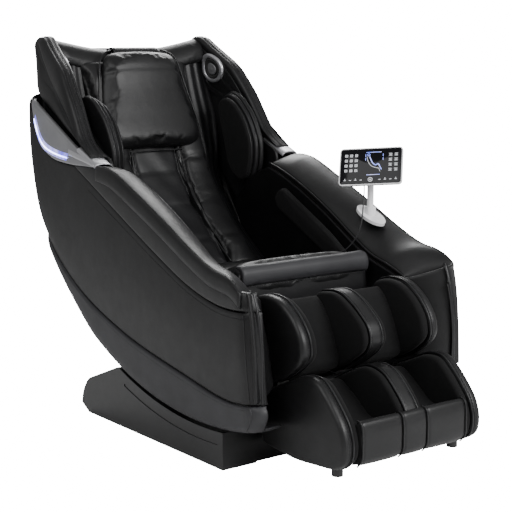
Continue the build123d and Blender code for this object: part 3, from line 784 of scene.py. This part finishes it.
# ---------------------------------------------------------------- arms
def arm_top(word, side):
    """Crowned arm cushion over the shell, with its piped inner edge and the wall below it."""
    out_line = smooth_line([(236, 766), (150, 750), (20, 697), (-105, 642), (-255, 572), (-350, 536),
                            (-430, 524), (-478, 500)], 60)
    in_line = smooth_line([(240, 738), (165, 716), (70, 678), (-52, 617), (-177, 543), (-250, 505),
                           (-330, 482), (-392, 458)], 60)
    shares = [0, 0.03, 0.08, 0.16, 0.28, 0.42, 0.56, 0.7, 0.82, 0.91, 0.97, 1]
    rows = []
    for s in shares:
        line = out_line * (1 - s) + in_line * s
        x = 383 - (383 - 264) * s
        bulge = 24 * math.sin(math.pi * min(max(s, 0), 1)) ** 0.6
        ends = np.clip(np.minimum(np.arange(60), np.arange(60)[::-1]) / 7.0, 0, 1) ** 0.5
        lifted = line + np.column_stack([np.zeros(60), bulge * ends - edge_drop(s * 119, 10, 6)])
        rows.append(np.column_stack([np.full(60, side * x), lifted]))
    under = [r + (0, 4, -40) for r in rows]
    under = [u + (side * (6 if k == len(rows) - 1 else 0), 0, 0) for k, u in enumerate(under)]
    ring_rows = [np.vstack([row[i] for row in rows] + [row[i] for row in reversed(under)]) for i in range(60)]
    piece = mesh_piece(f"arm_cushion_{word}", *rings_mesh(ring_rows), leather_black, "seat", 1)
    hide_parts(f"arm_pad_{word}")
    inner = rows[-1] + (-side * 1.0, 0, 1.0)
    piping(f"arm_piping_{word}", inner, "seat", 2.8)
    outer_seam = on_lines(rows, [0.2])[0] + (0, 0, 0.9)
    stitches(f"arm_stitch_{word}", outer_seam[2:-2], "seat")

    wall = [(-392, 452), (-392, 334), (100, 334), (330, 452), (418, 600), (332, 688), (236, 728),
            (165, 706), (70, 668), (-52, 607), (-177, 533), (-250, 495), (-330, 472)]
    loop = corner_loop(wall, 110, 22)
    panel = mesh_piece(f"arm_wall_{word}", *rings_mesh(pad_rings(loop, 266, 251, 5, 0.5, 1.2)),
                       leather_soft, "seat", 1)


def arm_nose(word, side):
    """Upholstered front end of an arm, from the cushion down to the band."""
    outer = smooth_line([(-486, 500), (-500, 440), (-512, 333), (-518, 214)], 30)
    inner = smooth_line([(-394, 456), (-404, 410), (-430, 333), (-452, 240)], 30)
    rows = []
    for s in np.linspace(0, 1, 14):
        line = outer * (1 - s) + inner * s
        x = 366 - (366 - 256) * s
        bulge = 13 * math.sin(math.pi * s) ** 0.7
        rows.append(np.column_stack([np.full(30, side * x), line + (-bulge, 0)]))
    piece = mesh_piece(f"arm_front_{word}", *thick_sheet(rows, np.array([0, 11, 0])), leather_black, "seat",
                       1)
    stitches(f"arm_front_stitch_{word}", rows[2][1:-1] + (0, -0.6, 0), "seat")


def forearm_pad(word, side):
    """Lozenge cushion on the inner wall of the arm, knit with a piped rim."""
    loop = corner_loop([(140, 672), (176, 640), (160, 606), (60, 556), (-100, 476), (-150, 470),
                        (-172, 496), (-90, 552)], 90, 26)
    piece = pad(f"forearm_cushion_{word}", loop, side * 251, side * 229, knit, "seat", roll=9, crown_in=0.5,
                crown_out=5)
    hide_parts(f"forearm_pad_{word}")
    piping(f"forearm_piping_{word}", loop3(inset(loop, 0.4), side * 243), "seat", 2.4, closed=True)


def shoulder_pad(word, side):
    """Layered shoulder cushion: two leather leaves round a knit face."""
    outline = np.array([(352, 650), (312, 668), (290, 742), (292, 805), (332, 885), (400, 945), (456, 962),
                        (500, 935), (460, 800), (424, 690)], float)
    loop = corner_loop(outline, 96, 40)
    middle = loop.mean(axis=0)
    leaves = ((1.0, 284, 266, leather_black), (0.95, 267, 251, leather_soft), (0.86, 252, 232, knit))
    for number, (share, x_out, x_in, material) in enumerate(leaves):
        size = middle + (loop - middle) * share
        piece = pad(f"shoulder_leaf_{number}_{word}", size, side * x_out, side * x_in, material, "seat",
                    roll=8, crown_in=1, crown_out=3.5 if number == 2 else 1)
        if number == 0:
            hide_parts(f"shoulder_pad_{word}")
        piping(f"shoulder_piping_{number}_{word}", loop3(inset(size, 0.6), side * (x_in + 8.5)), "seat",
               2.2, closed=True)


for word, side in SIDES.items():
    arm_top(word, side)
    arm_nose(word, side)
    forearm_pad(word, side)
    shoulder_pad(word, side)


# ---------------------------------------------------------------- back, pillow and seat
BACK_FRONT = [(182, 430), (262, 486), (335, 540), (402, 602), (470, 690), (510, 770), (545, 850),
              (582, 942), (608, 1024), (618, 1070)]


def lane(name, front_line, back_line, x_low, x_high, material, body, edge=14, crown=8, seams=(),
         count=44, columns=22, waves=(0, 0), widths=None, sag=0.0):
    """A cushion between two x, from a front and a back line.

    seams are (share of its length, depth), widths are (share of its length, share of its width), and sag
    lowers its middle.
    """
    front, back = smooth_line(front_line, count), smooth_line(back_line, count)
    thick = back - front
    unit = thick / (np.linalg.norm(thick, axis=1)[:, None] + 1e-6)
    run = np.linspace(0, 1, count)
    half = (x_high - x_low) / 2
    shares = np.concatenate([[-1, -0.99, -0.95, -0.88], np.linspace(-0.8, 0.8, columns),
                             [0.88, 0.95, 0.99, 1]])
    ends = edge_drop(np.minimum(run, 1 - run) * 400, 16, 1.0)
    rings = []
    wide = np.ones(count) if widths is None else np.interp(run, *zip(*widths))
    for s in shares:
        fall = float(edge_drop(half * (1 - abs(s)), edge, 1.0))
        lift = crown * (1 - s * s) * (1 - ends)
        for place, depth in seams:
            lift = lift - depth * np.exp(-((run - place) * 90) ** 2)
        lift = lift + waves[0] * np.sin(run * waves[1] + 5 * s) * (1 - abs(s)) * (1 - ends)
        pull = thick * (0.5 * fall + 0.28 * ends * (1 - fall))[:, None]
        out = front + pull - unit * (lift * (1 - fall))[:, None]
        rear = back - pull
        flat = np.vstack([out, rear[::-1]]) - (0, sag * (1 - s * s))
        x = (x_low + x_high) / 2 + s * half * np.concatenate([wide, wide[::-1]])
        rings.append(np.column_stack([x, flat]))
    piece = mesh_piece(name, *rings_mesh(rings), material, body, 1)
    return piece


def moved(line, dy, dz):
    """A (y, z) line moved as a whole."""
    return [(y + dy, z + dz) for y, z in line]


def back_rest():
    """Dark centre lane, two side bolsters and the gathered skirts beside them."""
    centre = lane("back_centre", moved(BACK_FRONT, 7, -5), moved(BACK_FRONT, 27, -18), -90, 90,
                  leather_soft, "seat", crown=5, seams=((0.16, 4), (0.34, 4), (0.52, 4)), waves=(1.6, 34))
    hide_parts("back_cushion")
    puffed(centre, 0.008)
    for word, side in SIDES.items():
        low, high = sorted((side * 84, side * 206))
        bolster = lane(f"back_bolster_{word}", moved(BACK_FRONT, 0, 0), moved(BACK_FRONT, 28, -18), low,
                       high, leather_black, "seat", edge=24, crown=12,
                       seams=((0.17, 6), (0.36, 5), (0.56, 5)))
        puffed(bolster, 0.012)
        line = smooth_line(moved(BACK_FRONT, 4, -3), 60)
        piping(f"bolster_piping_{word}", loop3(line, side * 88)[2:-2], "seat", 2.4)

        spine = smooth_line(BACK_FRONT, 60)
        width = np.interp(spine[:, 1], [430, 700, 800, 900, 1070], [250, 252, 290, 312, 300])
        rows = []
        for s in np.linspace(0, 1, 25):
            x = 196 + (width - 196) * s
            fold = 2.6 * math.sin(s * 19) * (0.3 + 0.7 * (spine[:, 1] > 760))
            back = 12 + 26 * s ** 1.5 + fold
            rows.append(np.column_stack([side * x, spine + np.column_stack([back * 0.84, -back * 0.54])]))
        skirt = mesh_piece(f"back_skirt_{word}", *thick_sheet(rows, np.array([0, 9, -6])), leather_soft,
                           "seat", 1)


def side_lining(word, side):
    """Leather lining that closes the space between a wing and the back panel."""
    loop = corner_loop([(330, 560), (430, 560), (560, 690), (640, 850), (690, 1040), (690, 1096),
                        (640, 1080), (540, 990), (420, 880), (346, 812), (254, 774), (250, 640)], 96, 20)
    pad(f"side_lining_{word}", loop, side * 302, side * 313, leather_soft, "seat", roll=4, crown_in=0.4,
        crown_out=0.4)


SLOT_X = (186, 232)      # the back panel is open here for the rails, up to SLOT_Y
SLOT_Y = 450


def pillow_flap():
    """Leather flap that hangs the pillow from the hood."""
    run = smooth_line([(606, 1086), (614, 1096), (628, 1101), (646, 1096), (664, 1086), (680, 1074)], 26)
    rows = [np.column_stack([np.full(26, x), run]) for x in np.linspace(-84, 84, 16)]
    flap = mesh_piece("pillow_flap", *thick_sheet(rows, np.array([0, -1, -4])), leather_soft, None)
    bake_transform(flap)


def hood():
    """Padded top edge of the back between the wings, and the curved back panel."""
    front = [(618, 1064), (628, 1098), (646, 1126), (676, 1138), (704, 1130), (716, 1108)]
    roll = lane("hood_roll", front, [(640, 1058), (648, 1086), (660, 1104), (676, 1110), (692, 1104),
                                     (700, 1092)], -300, 300, leather_black, "seat", edge=22, crown=2,
                columns=40, sag=52)
    puffed(roll, 0.005)
    outer = smooth_line([(290, 243), (422, 328), (542, 444), (624, 574), (677, 716), (708, 858),
                         (718, 1000), (717, 1096)], 60)
    slot_end = int(np.argmax(outer[:, 0] > SLOT_Y))
    verts, faces = [], []
    for low, high, start in ((-306, 306, slot_end), (-306, -SLOT_X[1], 0), (-SLOT_X[0], SLOT_X[0], 0),
                             (SLOT_X[1], 306, 0)):
        line = outer[start:] if start else outer[:slot_end + 1]
        rows = []
        for x in np.linspace(low, high, max(4, int((high - low) / 18))):
            curl = 34 * max(0.0, abs(x) / 306 - 0.62) ** 2 / 0.1444
            rows.append(np.column_stack([np.full(len(line), x), line - (curl, 0)]))
        v, f = thick_sheet(rows, np.array([0, -9, 3]))
        faces += [tuple(k + len(verts) for k in face) for face in f]
        verts += v
    panel = mesh_piece("back_panel", verts, faces, leather_black, "seat")
    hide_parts("back_cover")
    for x in (-150, 150):
        at = outer + (1.0, 0)
        stitches(f"back_panel_seam_{'right' if x < 0 else 'left'}", loop3(at, x)[3:-3], "seat")


PILLOW_WIDTHS = ((0, 0.5), (0.02, 0.6), (0.06, 0.7), (0.12, 0.77), (0.3, 0.84), (0.55, 0.93), (0.75, 0.99),
                 (0.86, 1), (0.92, 0.96), (0.96, 0.88), (1, 0.7))


def pillow():
    """Head pillow: plump body, a cross seam near its top, side seams and a piped lower edge."""
    front = [(606, 1102), (588, 1090), (567, 1052), (549, 980), (521, 900), (494, 824), (487, 784)]
    back = [(616, 1098), (610, 1084), (604, 1048), (588, 985), (562, 908), (528, 828), (505, 780)]
    body = lane("head_pillow_body", moved(front, 0, -8), moved(back, 0, -8), -190, 190, leather_black,
                "head_pillow", edge=34, crown=14, seams=((0.24, 4),), columns=40,
                widths=PILLOW_WIDTHS)
    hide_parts("head_pillow")
    puffed(body, 0.010)
    middle = smooth_line([((a + c) / 2, (b + d) / 2 - 8) for (a, b), (c, d) in zip(front, back)], 60)
    for way, half in (("right", -190), ("left", 190)):
        x = half * np.interp(np.linspace(0, 1, 60), *zip(*PILLOW_WIDTHS))
        piping(f"pillow_piping_{way}", np.column_stack([x, middle]), "head_pillow", 2.4)
    foot = np.column_stack([np.linspace(-0.7, 0.7, 40) * 190, np.full((40, 2), middle[-1])])
    piping("pillow_piping_foot", foot, "head_pillow", 2.4)


def seat_pad():
    """Seat cushion with two sewn channels, and the grey roll along its front."""
    top = [(-262, 512), (-236, 512), (-150, 484), (-40, 458), (80, 440), (172, 436)]
    low = [(-266, 420), (-240, 402), (-150, 386), (-40, 366), (80, 362), (172, 372)]
    cushion = lane("seat_cushion_body", top, low, -230, 230, leather_black, "seat", edge=22, crown=8,
                   seams=((0.3, 7), (0.62, 6)), columns=40)
    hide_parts("seat_cushion")
    puffed(cushion, 0.012)
    band = lane("seat_front_roll", [(-238, 522), (-262, 520), (-276, 504), (-278, 480), (-274, 462)],
                [(-238, 508), (-254, 506), (-262, 496), (-264, 480), (-262, 466)], -231, 231, leather_grey,
                "seat", edge=10, crown=1, columns=40)
    puffed(band, 0.004)
    row = np.array([(x, -279.5, 466) for x in np.linspace(-222, 222, 40)])
    stitches("seat_front_seam", row, "seat")


def seat_linings():
    """Leather behind the seat cushion and the apron that hangs from its front roll."""
    for name, line, depth in (("seat_rear_lining", [(170, 368), (186, 384), (206, 402), (222, 420)],
                               (0, 2, -4)),
                              ("seat_apron", [(-262, 468), (-266, 430), (-266, 380), (-262, 318)],
                               (0, 4, 0))):
        run = smooth_line(line, 30)
        rows = [np.column_stack([np.full(30, x), run]) for x in np.linspace(-228, 228, 40)]
        piece = mesh_piece(name, *thick_sheet(rows, np.array(depth)), leather_soft, "seat")


back_rest()
seat_linings()
for word, side in SIDES.items():
    side_lining(word, side)
hood()
pillow()
pillow_flap()
seat_pad()


# ---------------------------------------------------------------- leg and foot units
CALF_SIDE = [(-330, 452), (-398, 470), (-455, 462), (-512, 424), (-548, 376), (-556, 330), (-540, 302),
             (-488, 262), (-400, 222), (-372, 300), (-338, 380)]
CALF_WELL = [(-362, 446), (-398, 420), (-430, 372), (-452, 320), (-470, 262), (-400, 222), (-372, 300),
             (-338, 380)]
CALF_DIVIDER = [(-352, 450), (-436, 462), (-500, 430), (-556, 385), (-570, 345), (-556, 312), (-488, 262),
                (-400, 222), (-372, 300), (-338, 380)]
FOOT_SIDE = [(-394, 212), (-488, 252), (-551, 281), (-606, 281), (-657, 237), (-706, 180), (-722, 130),
             (-716, 84), (-682, 60), (-520, 48), (-380, 62), (-374, 110)]
FOOT_WELL = [(-470, 232), (-540, 190), (-590, 150), (-650, 146), (-700, 182), (-716, 178), (-719, 84),
             (-690, 66), (-520, 52), (-392, 66), (-386, 110), (-404, 200)]
FOOT_DIVIDER = [(-404, 206), (-488, 250), (-560, 284), (-622, 272), (-672, 226), (-706, 186), (-722, 130),
                (-716, 84), (-682, 62), (-520, 50), (-384, 64), (-380, 110)]


def lobe(name, outline, side, body, node):
    """A side lobe: leather outer half, a double-stitched wrap, a piped knit inner half."""
    loop = corner_loop(outline, 110, 34)
    outer = pad(f"{name}_outer", loop, side * 211, side * 244, leather_black, body, roll=13, crown_in=0.3,
                crown_out=3)
    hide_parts(node)
    inner = pad(f"{name}_inner", inset(loop, 5), side * 212, side * 185, knit, body, roll=12, crown_in=0.3,
                crown_out=5)
    piping(f"{name}_piping", loop3(inset(loop, 1.2), side * 211.5), body, 2.8, closed=True)
    for x in (219, 225):
        stitches(f"{name}_stitch_{x}", loop3(inset(loop, -0.2), side * x)[2:-2], body)
    return inner


def divider(name, outline, body, node):
    """The divider: a leather strip over the middle between two knit flanks."""
    loop = corner_loop(outline, 110, 30)
    strip = pad(f"{name}_strip", loop, -21, 21, leather_black, body, roll=6, crown_in=0.5, crown_out=0.5)
    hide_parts(node)
    for word, side in SIDES.items():
        pad(f"{name}_flank_{word}", inset(loop, 4), side * 20, side * 41, knit, body, roll=10, crown_in=0.3,
            crown_out=3)
        piping(f"{name}_piping_{word}", loop3(inset(loop, 1.0), side * 21), body, 2.6, closed=True)
        stitches(f"{name}_stitch_{word}", loop3(inset(loop, -0.3), side * 14)[2:-2], body)


def well(name, outline, body, node):
    """The two troughs between lobes and divider."""
    loop = corner_loop(outline, 110, 22)
    for word, side in SIDES.items():
        piece = pad(f"{name}_{word}", loop, side * 40, side * 187, knit, body, roll=8, crown_in=0.5,
                    crown_out=0.5)
        if word == "right":
            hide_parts(node)


def toe_panel():
    """Front of the foot unit: three upholstered panels with piped joints."""
    front = [(-697, 186), (-712, 182), (-719.5, 160), (-721, 120), (-718, 86), (-700, 66)]
    back = [(-694, 172), (-700, 168), (-704, 150), (-705, 120), (-703, 94), (-694, 78)]
    for number, (low, high) in enumerate(((-184, -43), (-42, 42), (43, 184))):
        lane(f"toe_panel_{number}", front, back, low, high, leather_black, "footrest", edge=10, crown=1.5,
             columns=18)
    for x in (-183, -42.5, 42.5, 183):
        piping(f"toe_piping_{x}".replace("-", "m").replace(".", "_"),
               loop3(smooth_line(moved(front, -0.5, 0), 40), x), "footrest", 2.4)


for word, side in SIDES.items():
    lobe(f"calf_lobe_{word}", CALF_SIDE, side, "legrest", f"calf_side_{word}")
    lobe(f"foot_lobe_{word}", FOOT_SIDE, side, "footrest", f"foot_side_{word}")
divider("calf_divide", CALF_DIVIDER, "legrest", "calf_divider")
divider("foot_divide", FOOT_DIVIDER, "footrest", "foot_divider")
well("calf_trough", CALF_WELL, "legrest", "calf_shell")
well("foot_trough", FOOT_WELL, "footrest", "foot_shell")
toe_panel()


# ---------------------------------------------------------------- tablet and its stand
TABLET = (Matrix.Translation(Vector((302, -200, 757))) @ Matrix.Rotation(math.radians(-55), 4, "Z")
          @ Matrix.Rotation(math.radians(-29), 4, "X") @ Matrix.Rotation(math.radians(-4.5), 4, "Y"))


def on_tablet(points):
    """Tablet coordinates (across, depth from the front, up) placed on the chair."""
    return [tuple(TABLET @ Vector(p)) for p in points]


def rounded_rectangle(width, height, radius, count=8):
    """Corner-rounded outline in the tablet's face."""
    points = []
    for cx, cz, start in ((1, 1, 0), (-1, 1, 90), (-1, -1, 180), (1, -1, 270)):
        for k in range(count + 1):
            a = math.radians(start + 90 * k / count)
            points.append((cx * (width / 2 - radius) + radius * math.cos(a),
                           cz * (height / 2 - radius) + radius * math.sin(a)))
    return points


def tablet_slab(name, sections, material):
    """A slab from (width, height, corner radius, depth) sections, front to back."""
    rings = [on_tablet([(x, d, z) for x, z in rounded_rectangle(w, h, r)]) for w, h, r, d in sections]
    return mesh_piece(name, *rings_mesh(rings), material, "tablet")


def icon_bars(name, bars, material):
    """Thin lit marks on the glass, each (x, z, width, height)."""
    verts, faces = [], []
    for x, z, w, h in bars:
        base = len(verts)
        ring = [(x - w / 2, z - h / 2), (x + w / 2, z - h / 2), (x + w / 2, z + h / 2),
                (x - w / 2, z + h / 2)]
        verts += on_tablet([(px, -6.55, pz) for px, pz in ring] + [(px, -6.15, pz) for px, pz in ring])
        faces += [(base, base + 1, base + 2, base + 3), (base + 7, base + 6, base + 5, base + 4)]
        faces += [(base + k, base + 4 + k, base + 4 + (k + 1) % 4, base + (k + 1) % 4) for k in range(4)]
    return mesh_piece(name, verts, faces, material, "tablet", smooth=False)


def icon_line(name, points, material, width=0.8, closed=False):
    """A thin lit line on the glass through (x, z) points."""
    path = on_tablet([(x, -6.3, z) for x, z in points])
    return mesh_piece(name, *tube_mesh(path, width / 2, 6, closed), material, "tablet")


def circle(x, z, radius, count=20):
    """Points round a circle on the glass."""
    return [(x + radius * math.cos(2 * math.pi * k / count), z + radius * math.sin(2 * math.pi * k / count))
            for k in range(count)]


def tablet():
    """White case, black glass, lit icon groups and a reclining figure."""
    case = tablet_slab("tablet_shell", [(184, 114, 9, -5.0), (188, 118, 11, -5.8),
                                        (189.6, 119.6, 11.8, -4.6), (190, 120, 12, -1),
                                        (189, 119, 11.5, 3.6), (184, 114, 9, 5.6), (150, 84, 8, 6.0)],
                       white_gloss)
    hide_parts("tablet_case")
    glass = tablet_slab("tablet_glass", [(180, 110, 6.5, -6.2), (181.4, 111.4, 7.2, -6.0),
                                         (182, 112, 7.5, -5.2), (181, 111, 7, -3.6)], black_glass)
    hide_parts("tablet_screen")
    grid = []
    for column in range(3):
        for row in range(4):
            x, z = -74 + column * 15, 38 - row * 16
            grid += [(x, z, 8, 1.1), (x - 3.4, z - 3.2, 1.1, 5.4), (x + 3.4, z - 3.2, 1.1, 5.4),
                     (x, z - 6.4, 8, 1.1)]
            grid += [(x, z - 3.2, 3.2, 1.4)] if (row + column) % 2 else [(x, z - 3.2, 1.4, 3.6)]
    for column in range(2):
        for row in range(4):
            x, z = 58 + column * 17, 38 - row * 16
            grid += [(x, z, 10, 1.2), (x, z - 3.4, 6.5, 1.2), (x, z - 6.2, 10, 1.2)]
    grid += [(x, -44, 6.5, 1.3) for x in (-76, -60, -44, -28, 28, 44, 60, 76)]
    grid += [(x, -40.5, 1.3, 4) for x in (-76, -44, 44, 76)]
    icon_bars("tablet_icons", grid, icon_white)
    icon_bars("tablet_lines", [(8, 44, 46, 1.2), (-16, 34, 1.3, 8), (-16, 22, 1.3, 8), (36, 34, 1.3, 8),
                               (36, 22, 1.3, 8), (8, -28, 40, 1.2)], icon_blue)
    figure = smooth_line([(-4, 30), (0, 20), (6, 9), (14, 3), (22, 6), (27, -2), (32, -12)], 30)
    icon_line("tablet_figure", figure, icon_blue, 2.6)
    icon_line("tablet_figure_head", circle(-7, 36, 3.6), icon_blue, 1.4, closed=True)
    seat = smooth_line([(-12, 30), (-8, 14), (2, 0), (16, -6), (24, -8), (28, -18)], 30)
    icon_line("tablet_figure_seat", seat, icon_white, 1.2)
    icon_line("tablet_ring", circle(0, -43, 6.2), icon_white, 1.3, closed=True)
    icon_line("tablet_dot", circle(0, -43, 2.0, 10), icon_white, 1.2, closed=True)


# ---------------------------------------------------------------- free cord
PLAIN_ROUTE = [(285, -190, 699.6), (284.6, -190.4, 676), (277, -196, 647), (267, -204, 616),
               (260, -206, 586), (251, -200, 557), (241, -188, 532), (231, -173, 513), (221, -154, 501),
               (212, -133, 496)]
COIL_ROUTE = [(212, -133, 496), (219, -97, 490), (224, -58, 486), (232, -20, 478), (240, 20, 474)]
COIL_TURNS = 26
POINTS_PER_TURN = 14
COIL_RADIUS = 4.6        # of the helix's control points, which the spline runs just inside


def nurbs_curve(name, points):
    """A curve object of one open NURBS spline through control points in millimetres."""
    data = bpy.data.curves.new(name, "CURVE")
    data.dimensions = "3D"
    spline = data.splines.new("NURBS")
    spline.points.add(len(points) - 1)
    for at, p in zip(spline.points, points):
        at.co = (*(np.array(p, float) * MM), 1)
    spline.order_u = 3
    spline.use_endpoint_u = True
    spline.resolution_u = 4
    curve = bpy.data.objects.new(name, data)
    bpy.context.scene.collection.objects.link(curve)
    return curve


def spline_points(points, resolution):
    """Points of the NURBS spline with these control points, as Blender evaluates it with no bevel."""
    curve = nurbs_curve("route", points)
    curve.data.splines[0].resolution_u = resolution
    graph = bpy.context.evaluated_depsgraph_get()
    mesh = bpy.data.meshes.new_from_object(curve.evaluated_get(graph), depsgraph=graph)
    line = np.array([v.co for v in mesh.vertices]) / MM
    data = curve.data
    bpy.data.objects.remove(curve)
    bpy.data.curves.remove(data)
    bpy.data.meshes.remove(mesh)
    return line


def even_points(line, count):
    """Evenly spaced points along a fine line."""
    travel = np.concatenate([[0], np.cumsum(np.linalg.norm(np.diff(line, axis=0), axis=1))])
    where = np.linspace(0, travel[-1], count)
    return np.column_stack([np.interp(where, travel, line[:, k]) for k in range(3)])


def remote_cord():
    """One spline: the hanging run, then a helix along the curly stretch, then the socket."""
    axis = even_points(spline_points(COIL_ROUTE, 32), COIL_TURNS * POINTS_PER_TURN + 1)
    ahead = np.gradient(axis, axis=0)
    ahead /= np.linalg.norm(ahead, axis=1)[:, None]
    helix = []
    for k, (centre, d) in enumerate(zip(axis, ahead)):
        flat = np.cross(d, (0, 0, 1.0))
        flat /= np.linalg.norm(flat)
        up = np.cross(flat, d)
        turns = k / POINTS_PER_TURN
        reach = COIL_RADIUS * min(1, turns, COIL_TURNS - turns)
        a = 2 * math.pi * turns
        helix.append(centre + reach * (math.cos(a) * up + math.sin(a) * flat))
    line = spline_points(list(PLAIN_ROUTE[:-1]) + helix, 4)
    piece = mesh_piece("remote_cord_line", *tube_mesh(line, 2.0, 10), cord_jacket, None)
    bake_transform(piece)
    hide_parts("remote_cord", "remote_cord_coil")


cord_jacket = moulded("cord_jacket", (0.012, 0.012, 0.013), (0.02, 0.02, 0.021), rough=(0.4, 0.55),
                      texture=0.2)
tablet()
remote_cord()


# ---------------------------------------------------------------- base shells and parts kept from the CAD
FINISH = {
    "plastic_black": ("base_cover_right", "base_cover_left", "base_rear_cover", "base_front_cover",
                      "control_box",
                      "power_inlet", "power_switch", "massage_carriage", "foot_roller", "cord_socket",
                      "foot_glides"),
    "steel_black": ("base_pan", "pan_ribs", "seat_frame", "recline_gearmotor"),
    "steel_bright": ("rocker_rails", "massage_track"),
    "rubber": ("base_feet", "drive_wheel", "transport_wheel_left", "transport_wheel_right",
               "massage_rollers_upper", "massage_rollers_lower", "cord_strain_relief"),
    "nylon": ("glide_blocks",),
    "white_gloss": ("tablet_mount", "tablet_post"),
}
steel_bright = moulded("steel_bright", (0.45, 0.45, 0.46), (0.56, 0.56, 0.57), rough=(0.26, 0.38),
                       metallic=1.0)


def finish_kept_nodes():
    """Gives the CAD nodes listed in FINISH their material and a small bevel."""
    looks = {"plastic_black": plastic_black, "steel_black": steel_black, "steel_bright": steel_bright,
             "rubber": rubber, "nylon": nylon, "white_gloss": white_gloss}
    for look, names in FINISH.items():
        for node in names:
            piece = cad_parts[node]
            for place in piece.material_slots:
                place.material = looks[look]
            bevel = piece.modifiers.new("Bevel", "BEVEL")
            bevel.width = 0.0008
            bevel.segments = 2
            bevel.limit_method = "ANGLE"
            bevel.angle_limit = math.radians(40)


finish_kept_nodes()
